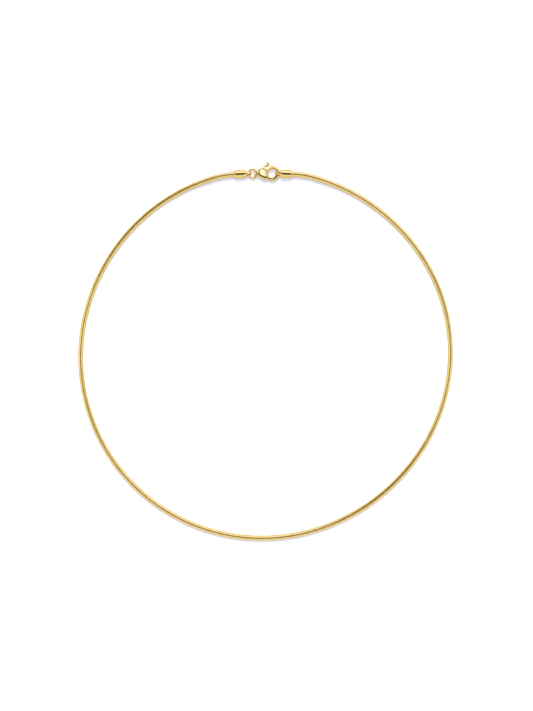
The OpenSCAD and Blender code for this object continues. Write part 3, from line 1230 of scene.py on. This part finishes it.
        def shape(x: Array, y: Array, z: Array) -> Array:
            """Distance from the clasp's body."""
            high = np.abs(z)
            whole = np.minimum(
                self.block_distance(panel, x, y, high), self.block_distance(border, x, y, high)
            )
            across, beside, reach = self.from_hook(x, y)
            past_root = across * root[1] - beside * root[0]
            past_end = beside * end[0] - across * end[1]
            mouth = self.mouth_d / 2 - reach
            bevel = (mouth + high - self.mouth_wall / 2) / math.sqrt(2)
            for face in (mouth, bevel, past_root, past_end):
                whole = softest(whole, face, self.face_round)
            whole = cut(whole, self.slot_distance(x, y, z), self.slot_round)
            whole = fused(whole, self.hook_distance(x, y, z), self.hook_fillet)
            tail = disc(np.hypot(x, z), y, self.tail_d, layout.tail_w, self.tail_round)
            whole = fused(whole, tail, self.tail_fillet)
            return cut(whole, self.tail_bore(x, y, z), self.tail_bore_round)

        return shape

    def lever_shape(self, x: Array, y: Array, z: Array) -> Array:
        """Distance from the lever: hub, arm and gate as one plate, with the domed tab.

        The plate's outline is the hub's circle and the arm's polygon, joined by the gate,
        a rounded bar along a part of a ring. The mouth and the rivet's bore are cut out.
        The tab's faces fall off with the square of the distance from its middle, and in a
        straight line towards its back.
        """
        layout = self.layout
        hub_r = self.hub_d / 2
        gate_in = layout.bar_mid_r - self.gate_w / 2
        gate_out = layout.bar_mid_r + self.gate_w / 2
        arm = np.array([
            self.rivet_p - [hub_r, 0], self.tab_p - [self.tab_d / 2, 0],
            self.tab_p + [self.tab_d / 2, 0], [self.tab_p[0] + self.tab_d / 2, self.mouth_d / 4],
            self.hook_c + gate_in * on_circle(self.cheek_end_deg - self.arm_in_back),
            self.hook_c + gate_out * on_circle(self.cheek_end_deg - self.arm_out_back),
            self.rivet_p - [0, hub_r],
        ])
        from_rivet = self.from_rivet(x, y)
        across, beside, reach = self.from_hook(x, y)
        end = on_circle(self.hook_tip_deg + self.gate_spare)
        half_w, half_h = self.gate_w / 2, self.lever_t / 2
        gate = self.bar_distance(reach - gate_out, z, half_w, half_h, self.gate_crest)
        for face in (beside, beside * end[0] - across * end[1]):
            gate = np.maximum(gate, face)
        past_tip = from_rivet - self.gate_reach + layout.play / 2
        gate = softest(gate, past_tip, self.gate_end_round)
        plate = np.minimum(from_rivet - hub_r, polygon_distance(x, y, arm))
        plate = np.minimum(plate, gate)
        plate = np.maximum(plate, self.mouth_d / 2 + layout.play - reach)
        plate = softest(plate, np.abs(z) - self.lever_t / 2, self.plate_round)
        plate = np.maximum(plate, self.rivet_d / 2 + self.rivet_gap - from_rivet)
        ring = np.hypot(x - self.tab_p[0], y - self.tab_p[1])
        dome = self.tab_dome * (2 * ring / self.tab_d) ** 2
        lean = (self.tab_p[0] + self.tab_d / 2 - x) * math.tan(math.radians(self.tab_lean_deg))
        tab = disc(ring, np.abs(z) + dome + lean, self.tab_d, self.tab_t, self.tab_round)
        return fused(plate, tab, self.tab_fillet)

    def add_casting(
        self, name: str, shape: Field, corners: Array, step: float, smooth: int, body: Body,
        node: str,
    ) -> None:
        """Builds a cast piece at its place and dresses it.

        Args:
            name: The piece's name.
            shape: Its distance function, in the clasp's frame.
            corners: The lowest and the highest corner of the room that it takes up.
            step: Spacing of the lattice that its distance is worked out on.
            smooth: How often its surface is relaxed.
            body: The body that it moves with.
            node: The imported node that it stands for.
        """
        points, faces = cast_surface(shape, *corners, step, rounds=1)
        points = relaxed(points, faces, smooth)
        points = placed(points, self.layout.tail_c, self.layout.clasp_turn)
        made = mesh_object(name, points, faces)
        give_hollows(made, faces, self.hollow_reach)
        dress(made, CAST, body, node)

    def add_body(self) -> None:
        """Builds the cast body, with room on both sides for its hook and its slot's end."""
        half_w, half_t = self.body_w / 2, self.layout.clasp_t / 2
        far = self.layout.hook_reach + self.layout.hook_d / 2
        corners = np.array([
            [-self.tail_d / 2, -half_w - self.room_below, -half_t],
            [far, half_w + self.room_above, half_t],
        ])
        shape, step = self.body_shape(), self.step
        self.add_casting("clasp_casting", shape, corners, step, 1, Body.NECKLACE, "clasp_body")

    def add_lever(self) -> None:
        """Builds the lever."""
        half_t, tab_r, far = self.tab_t / 2, self.tab_d / 2, self.layout.hook_reach
        corners = np.array([
            [self.rivet_p[0] - self.hub_d, -self.layout.hook_d / 2, -half_t],
            [far + tab_r, self.tab_p[1] + tab_r, half_t],
        ])
        shape, step = self.lever_shape, self.lever_step
        self.add_casting("lever_plate", shape, corners, step, 2, Body.LEVER, "clasp_lever")

    def face_height(self, x: Array, y: Array) -> Array:
        """Height of the body's face over points, the higher of its two blocks' faces.

        A block's face is the lowest, over its planes that look up, of the height at which
        each plane passes over the point.
        """
        heights = []
        for planes in self.blocks():
            east, north, up, gap = planes[planes[:, 2] > 0.05].T
            over = (gap - x[..., None] * east - y[..., None] * north) / up
            heights.append(over.min(axis=-1))
        return np.maximum(*heights)

    def add_rivet(self) -> None:
        """Builds the rivet, a pin whose ends are filed down to the cheeks' sloping faces.

        An end's points lie on rings whose radius is the pin's times the sine of an angle,
        and stand over the face by a small rise times its cosine, less a sunk edge.
        """
        rise = np.radians(np.linspace(0, 90, 9))
        ring = circle(self.rivet_d / 2 * np.sin(rise), self.rivet_p)
        proud = (self.rivet_proud * np.cos(rise) - self.rivet_sunk)[:, None]
        height = self.face_height(ring[..., 0], ring[..., 1]) + proud
        upper = np.concatenate([ring, height[..., None]], axis=-1)
        points = np.concatenate([upper, upper[::-1] * [1, 1, -1]]).reshape(-1, 3)
        points = placed(points, self.layout.tail_c, self.layout.clasp_turn)
        faces = grid_faces(2 * len(rise), ring.shape[1])
        made = welded(mesh_object("rivet_pin", points, faces))
        give_flat(made)
        dress(made, CAST, Body.NECKLACE, "clasp_rivet")

    def add(self) -> None:
        """Builds the clasp's three pieces."""
        self.add_body()
        self.add_lever()
        self.add_rivet()


# The studio


@dataclass(frozen=True)
class Patch:
    """A soft patch of the studio's dome, by its direction seen from the necklace.

    Its azimuth and half width are in degrees round the dome, and nearest and furthest are
    degrees down from straight above. It fades out over its soft degrees to either side.
    """

    azimuth: float
    half_width: float
    nearest: float
    furthest: float
    soft: float
    colour: Colour


@dataclass(frozen=True)
class Lamp:
    """A far lamp for the floor, which the gold's mirror images leave out.

    It leans by some degrees from straight above towards +Y, and spans a width in degrees,
    which softens its shadows.
    """

    name: str
    lean: float
    width: float
    power: float
    tone: Colour

    def add(self) -> None:
        """Hangs the lamp."""
        lamp = bpy.data.lights.new(self.name, "SUN")
        lamp.energy = self.power
        lamp.color = self.tone
        lamp.angle = math.radians(self.width)
        holder = bpy.data.objects.new(self.name, lamp)
        holder.rotation_euler = (-math.radians(self.lean), 0, 0)
        holder.visible_glossy = False
        bpy.context.scene.collection.objects.link(holder)


@dataclass(frozen=True)
class Studio:
    """Pale floor, a dome of soft light, two lamps for the floor and the camera above."""

    floor_half: float = 6.0
    floor_tone: Colour = (0.92, 0.92, 0.93)
    # Painted shade: the floor's tone as the gold's mirror images see it, darker and warmer than
    # its own
    floor_shade_in_gold: Colour = (0.76, 0.66, 0.43)
    floor_roughness: float = 0.9
    view_height: float = 281.4 * MM
    view_x: float = 0.61 * MM
    view_y: float = -0.38 * MM
    lens: float = 135.0
    sensor: float = 36.0
    dome: Colour = (1.05, 1.12, 1.14)
    horizon: Colour = (0.92, 0.82, 0.54)
    horizon_from: float = 70
    horizon_to: float = 86
    on_floor: float = 0.22
    round_camera: Colour = (0.04, 0.04, 0.03)
    dark_until: float = 14
    light_from: float = 34
    dark_lean: float = 6

    # The dome's patches, laid over it in this order
    PATCHES = (
        Patch(270, 80, 18, 42, 5, (0.86, 0.98, 0.92)),
        Patch(90, 50, 12, 32, 5, (0.80, 0.62, 0.32)),
        Patch(85, 58, 40, 62, 6, (1.50, 1.85, 3.10)),
        Patch(179, 12, 25, 44, 5, (1.55, 1.85, 2.80)),
        Patch(132, 18, 16, 66, 7, (0.10, 0.05, 0.01)),
        Patch(20, 8, 20, 70, 6, (0.36, 0.28, 0.12)),
    )
    LAMPS = (
        Lamp("key_lamp", 33, 14, 2.2, (1.0, 0.92, 0.72)),
        Lamp("fill_lamp", 0, 16, 1.75, (0.92, 1.0, 1.22)),
    )

    def add_floor(self) -> None:
        """Lays the floor's plane, whose mirror image in the gold is painted darker and warmer
        than the floor itself, as painted shade.
        """
        corners = self.floor_half * np.array([[-1, -1, 0], [1, -1, 0], [1, 1, 0], [-1, 1, 0]])
        floor = mesh_object("floor", corners, np.array([[0, 1, 2, 3]]))
        made, sheet = new_material("floor")
        path = sheet.node("ShaderNodeLightPath")
        # Painted shade: glossy rays see the darker, warmer floor tone
        tone = sheet.mixed(path.outputs["Is Glossy Ray"], self.floor_tone, self.floor_shade_in_gold)
        sheet.surface({
            "Base Color": tone, "Roughness": self.floor_roughness, "Specular IOR Level": 0.0,
        })
        floor.data.materials.append(made)

    def add_world(self) -> None:
        """Paints the dome: its fill, its horizon, the patches, and the dark round the camera.

        A patch's strength is the product of two smooth windows, one of the angle from
        straight up and one of the cosine of the angle from its azimuth. The dark is
        centred a little off straight up, away from the key lamp. The floor gets only a
        share of the dome's light, and the rest from its lamps.
        """
        world = bpy.data.worlds.new("studio")
        world.use_nodes = True
        bpy.context.scene.world = world
        sheet = Sheet(world.node_tree)
        way = sheet.node("ShaderNodeTexCoord").outputs["Generated"]
        parts = sheet.node("ShaderNodeSeparateXYZ", {}, {0: way})
        x, y, z = (sheet.output(parts, i) for i in range(3))
        steep = sheet.math("ARCCOSINE", z) * math.degrees(1)
        never_0 = 1e-6
        flat = sheet.math("SQRT", x * x + y * y + never_0)

        def strength(patch: Patch) -> Number:
            """How far a direction lies in a patch."""
            soft = patch.soft
            east, north = (float(part) for part in on_circle(patch.azimuth))
            facing = (x * east + y * north) / flat
            outer = math.cos(math.radians(patch.half_width + soft))
            inner = math.cos(math.radians(patch.half_width - soft))
            rise = sheet.step_up(steep, patch.nearest - soft, patch.nearest + soft)
            fall = sheet.step_up(steep, patch.furthest - soft, patch.furthest + soft)
            return sheet.step_up(facing, outer, inner) * rise * (1 - fall)

        low = sheet.step_up(steep, self.horizon_from, self.horizon_to)
        colour = sheet.mixed(low, self.dome, self.horizon)
        for patch in self.PATCHES:
            colour = sheet.mixed(strength(patch), colour, patch.colour)
        up, back = (float(part) for part in on_circle(self.dark_lean))
        off = sheet.math("ARCCOSINE", z * up - y * back) * math.degrees(1)
        away = sheet.step_up(off, self.dark_until, self.light_from)
        colour = sheet.mixed(away, self.round_camera, colour)
        path = sheet.node("ShaderNodeLightPath")
        on_floor = sheet.output(path, "Is Diffuse Ray") * (self.on_floor - 1) + 1
        light = sheet.node("ShaderNodeBackground", {}, {"Color": colour, "Strength": on_floor})
        sheet.node("ShaderNodeOutputWorld", {}, {"Surface": light.outputs[0]})

    def add_camera(self) -> None:
        """Hangs the camera so that the photo's frame fits the loop, looking straight down."""
        camera = bpy.data.cameras.new("camera")
        camera.lens = self.lens
        camera.sensor_fit = "VERTICAL"
        camera.sensor_height = self.sensor
        height = self.view_height * self.lens / self.sensor
        holder = bpy.data.objects.new("camera", camera)
        holder.location = (self.view_x, self.view_y, height)
        bpy.context.scene.collection.objects.link(holder)
        bpy.context.scene.camera = holder

    def add(self) -> None:
        """Sets up the whole studio."""
        bpy.context.scene.view_settings.view_transform = "Standard"
        self.add_floor()
        self.add_world()
        for lamp in self.LAMPS:
            lamp.add()
        self.add_camera()


def main() -> None:
    """Loads the frame, builds the studio and the pieces."""
    logging.basicConfig(level=logging.INFO, format="%(name)s: %(message)s")
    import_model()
    layout = Layout()
    Studio().add()
    RibbedChain(layout).add()
    cap = EndCap(layout)
    roll = layout.cap_roll
    cap.add("left_cap", "end_cap_left", layout.left_eye, layout.left_cap_turn, -roll)
    cap.add("right_cap", "end_cap_right", layout.right_eye, 180 - layout.right_cap_turn, roll)
    JumpRing(layout).add()
    Clasp(layout).add()


if __name__ == "__main__":
    main()
